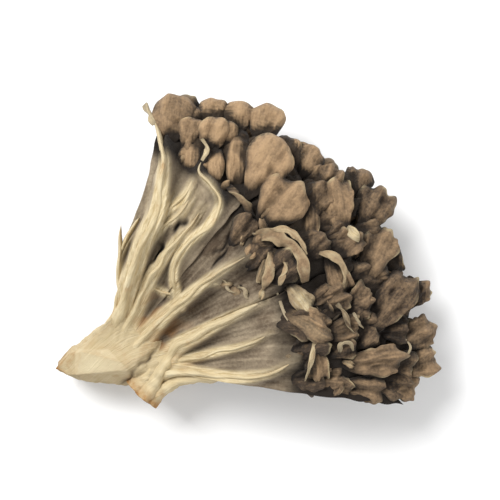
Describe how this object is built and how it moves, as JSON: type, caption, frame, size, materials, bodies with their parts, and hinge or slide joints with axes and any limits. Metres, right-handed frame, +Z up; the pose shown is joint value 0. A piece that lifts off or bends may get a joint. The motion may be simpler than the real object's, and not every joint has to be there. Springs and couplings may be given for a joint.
{
  "type": "dried maitake mushroom piece",
  "caption": "Dried maitake wedge lying flat: a cream cut stem splits into fin-like ribs, with grey-brown fronds of overlapping cap lobes fanned out in tiers.",
  "frame": {"origin": "centre of the bounding box's base, on the surface that the piece lies on", "axes": "+Z up from the surface; +X along the longest extent, from the cut stem towards the caps; +Y towards the fan's upper edge"},
  "size_m": [0.0933, 0.0753, 0.0309],
  "materials": {
    "stem": "dry matt cream flesh",
    "cap_top": "dry matt grey-brown skin",
    "cap_middle": "dry matt darker brown skin",
    "cap_lower": "dry matt grey skin"
  },
  "bodies": {
    "root": {"stem": "stem", "top_frond_1": "cap_top", "top_frond_2": "cap_top", "top_frond_3": "cap_top", "middle_frond_1": "cap_middle", "middle_frond_2": "cap_middle", "middle_frond_3": "cap_middle", "lower_frond_1": "cap_lower", "lower_frond_2": "cap_lower", "lower_frond_3": "cap_lower"}
  },
  "joints": []
}
